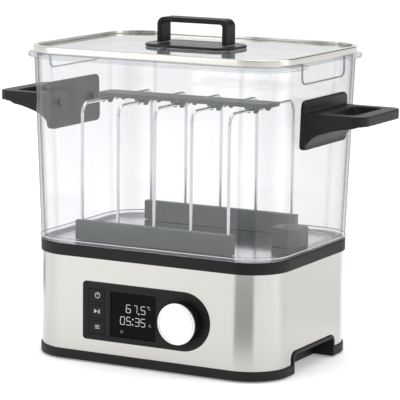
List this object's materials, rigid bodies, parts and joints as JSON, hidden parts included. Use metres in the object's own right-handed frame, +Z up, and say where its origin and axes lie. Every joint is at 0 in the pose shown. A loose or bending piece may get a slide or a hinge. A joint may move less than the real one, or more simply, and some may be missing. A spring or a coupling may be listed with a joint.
{
  "type": "sous vide water-bath cooker",
  "caption": "Sous vide cooker: steel base with control panel and pump drive, clear lift-off tank with loop handles, glass lid, and wire rack that holds food pouches apart.",
  "frame": {"origin": "under the middle of the whole object's bounding box, on the plane that its feet stand on", "axes": "+X to the right along the long side as seen from the control panel, +Y from the control panel to the back, +Z up"},
  "size_m": [0.38, 0.2092, 0.3133],
  "materials": {
    "shell_steel": "brushed, satin",
    "polished_steel": "polished",
    "wire_steel": "bright drawn wire",
    "rim_steel": "satin",
    "screw_steel": "plain",
    "charcoal_plastic": "fine texture",
    "black_plastic": "satin",
    "display_black": "glossy",
    "clear_plastic": "clear, polished",
    "clear_glass": "clear, tempered",
    "clear_rubber": "translucent silicone",
    "black_rubber": "matte",
    "anthracite_plastic": "satin",
    "cast_aluminium": "cast",
    "circuit_board": "solder mask",
    "brass": "plain",
    "white_plastic": "satin",
    "motor_steel": "zinc plated"
  },
  "bodies": {
    "base": {"base_pan": "charcoal_plastic", "foot_front_left": "black_rubber", "foot_front_right": "black_rubber", "foot_rear_left": "black_rubber", "foot_rear_right": "black_rubber", "steel_shell": "shell_steel", "notch_trim_right": "charcoal_plastic", "notch_trim_left": "charcoal_plastic", "collar": "charcoal_plastic", "cord_gland": "black_rubber", "panel_bezel": "black_plastic", "display_window": "display_black", "display_module": "white_plastic", "switch_power": "white_plastic", "switch_start": "white_plastic", "switch_menu": "white_plastic", "encoder_body": "cast_aluminium", "display_board": "circuit_board", "main_board": "circuit_board", "heating_plate": "cast_aluminium", "heating_element": "polished_steel", "temperature_probe": "brass", "thermal_fuse": "white_plastic", "motor_body": "motor_steel", "motor_bracket": "white_plastic"},
    "knob": {"knob_body": "black_plastic", "knob_cap": "polished_steel", "encoder_shaft": "polished_steel"},
    "button_power": {"button_power": "black_plastic"},
    "button_start": {"button_start": "black_plastic"},
    "button_menu": {"button_menu": "black_plastic"},
    "rotor": {"magnet_rotor": "cast_aluminium"},
    "tank": {"tank_shell": "clear_plastic", "tank_floor": "polished_steel", "floor_seal": "clear_rubber", "handle_right": "charcoal_plastic", "handle_left": "charcoal_plastic", "handle_screw_right_front": "screw_steel", "handle_screw_right_rear": "screw_steel", "handle_screw_left_front": "screw_steel", "handle_screw_left_rear": "screw_steel", "pump_cover": "anthracite_plastic", "impeller_pin": "polished_steel"},
    "impeller": {"impeller": "white_plastic"},
    "lid": {"lid_rim": "rim_steel", "lid_glass": "clear_glass", "lid_seal": "clear_rubber", "lid_plate": "black_plastic", "lid_handle": "black_plastic", "lid_screw_right": "screw_steel", "lid_screw_left": "screw_steel"},
    "rack": {"rail_front": "anthracite_plastic", "rail_rear": "anthracite_plastic", "hoop_1": "wire_steel", "hoop_2": "wire_steel", "hoop_3": "wire_steel", "hoop_4": "wire_steel", "hoop_5": "wire_steel"},
    "comb": {"comb": "anthracite_plastic"}
  },
  "joints": [
    {"name": "knob_turn", "type": "hinge", "parent": "base", "child": "knob", "pos_m": [0.0391, -0.098, 0.0493], "axis": [0, 1, 0], "continuous": true},
    {"name": "press_power", "type": "slide", "parent": "base", "child": "button_power", "axis": [0, 1, 0], "range_m": [0, 0.001], "stiffness_N_per_m": 400},
    {"name": "press_start", "type": "slide", "parent": "base", "child": "button_start", "axis": [0, 1, 0], "range_m": [0, 0.001], "stiffness_N_per_m": 400},
    {"name": "press_menu", "type": "slide", "parent": "base", "child": "button_menu", "axis": [0, 1, 0], "range_m": [0, 0.001], "stiffness_N_per_m": 400},
    {"name": "rotor_spin", "type": "hinge", "parent": "base", "child": "rotor", "pos_m": [0.0955, 0.0089, 0.098], "axis": [0, 0, 1], "continuous": true},
    {"name": "tank_lift", "type": "slide", "parent": "base", "child": "tank", "axis": [0, 0, 1], "range_m": [0, 0.12]},
    {"name": "impeller_spin", "type": "hinge", "parent": "tank", "child": "impeller", "pos_m": [0.0955, 0.0089, 0.115], "axis": [0, 0, 1], "continuous": true},
    {"name": "lid_lift", "type": "slide", "parent": "tank", "child": "lid", "axis": [0, 0, 1], "range_m": [0, 0.15]},
    {"name": "rack_lift", "type": "slide", "parent": "tank", "child": "rack", "axis": [0, 0, 1], "range_m": [0, 0.028]},
    {"name": "comb_lift", "type": "slide", "parent": "rack", "child": "comb", "axis": [0, 0, 1], "range_m": [0, 0.01]}
  ],
  "couplings": [
    {"joint": "impeller_spin", "follows": "rotor_spin", "ratio": 1}
  ]
}
